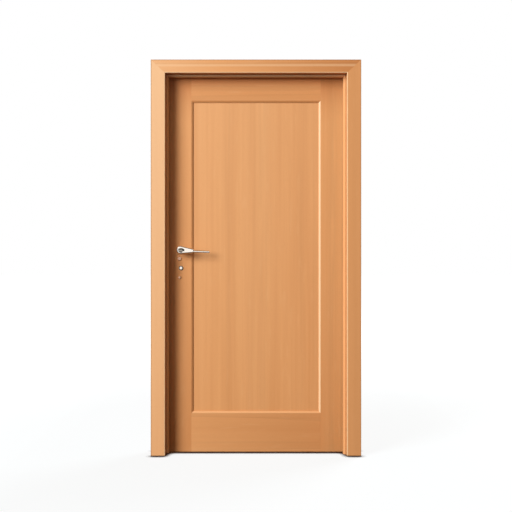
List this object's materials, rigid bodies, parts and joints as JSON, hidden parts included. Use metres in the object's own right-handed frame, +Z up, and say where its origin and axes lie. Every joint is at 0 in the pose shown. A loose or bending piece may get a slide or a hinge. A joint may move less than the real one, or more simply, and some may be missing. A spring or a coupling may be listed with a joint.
{
  "type": "interior door with frame",
  "caption": "Timber interior door in a cased frame: recessed-panel leaf on butt hinges, sprung lever handles, mortise lock and strike plate.",
  "frame": {"origin": "on the hinge jamb's outer face, half way through the wall's thickness, at floor level", "axes": "+X from the lock side to the hinge side, +Y from the side the leaf is recessed from to the side it opens towards, +Z up"},
  "size_m": [1.096, 0.176, 2.068],
  "materials": {
    "frame_timber": "satin lacquer",
    "leaf_timber": "satin lacquer",
    "panel_veneer": "satin lacquer",
    "cap_timber": "satin lacquer",
    "chrome": "polished",
    "satin_steel": "satin"
  },
  "bodies": {
    "frame": {"casing_back_head": "frame_timber", "casing_back_hinge_side": "frame_timber", "casing_back_lock_side": "frame_timber", "casing_front_head": "frame_timber", "casing_front_hinge_side": "frame_timber", "casing_front_lock_side": "frame_timber", "head_jamb": "frame_timber", "hinge_jamb": "frame_timber", "hinge_jamb_flap_bottom": "satin_steel", "hinge_jamb_flap_middle": "satin_steel", "hinge_jamb_flap_top": "satin_steel", "hinge_pin_bottom": "satin_steel", "hinge_pin_middle": "satin_steel", "hinge_pin_top": "satin_steel", "lock_jamb": "frame_timber", "stop_head": "frame_timber", "stop_hinge_side": "frame_timber", "stop_lock_side": "frame_timber", "strike_plate": "satin_steel"},
    "leaf": {"bead_back_bottom": "leaf_timber", "bead_back_hinge_side": "leaf_timber", "bead_back_lock_side": "leaf_timber", "bead_back_top": "leaf_timber", "bead_front_bottom": "leaf_timber", "bead_front_hinge_side": "leaf_timber", "bead_front_lock_side": "leaf_timber", "bead_front_top": "leaf_timber", "bottom_rail": "leaf_timber", "cover_caps_back": "cap_timber", "cover_caps_front": "cap_timber", "dead_bolt": "satin_steel", "hinge_leaf_flap_bottom": "satin_steel", "hinge_leaf_flap_middle": "satin_steel", "hinge_leaf_flap_top": "satin_steel", "hinge_stile": "leaf_timber", "latch_bolt": "satin_steel", "lock_cylinder_back": "chrome", "lock_cylinder_front": "chrome", "lock_stile": "leaf_timber", "mortise_lock": "satin_steel", "panel": "panel_veneer", "rose_back": "chrome", "rose_front": "chrome", "top_rail": "leaf_timber"},
    "lever_set": {"lever_back": "chrome", "lever_front": "chrome", "spindle": "satin_steel"}
  },
  "joints": [
    {"name": "leaf_swing", "type": "hinge", "parent": "frame", "child": "leaf", "pos_m": [-0.0325, 0.062, 0], "axis": [0, 0, -1], "range_deg": [0, 120]},
    {"name": "lever_turn", "type": "hinge", "parent": "leaf", "child": "lever_set", "pos_m": [-0.903, 0.035, 1.077], "axis": [0, 1, 0], "range_deg": [0, 40], "stiffness_Nm_per_rad": 0.8, "springref_deg": -34.38}
  ]
}
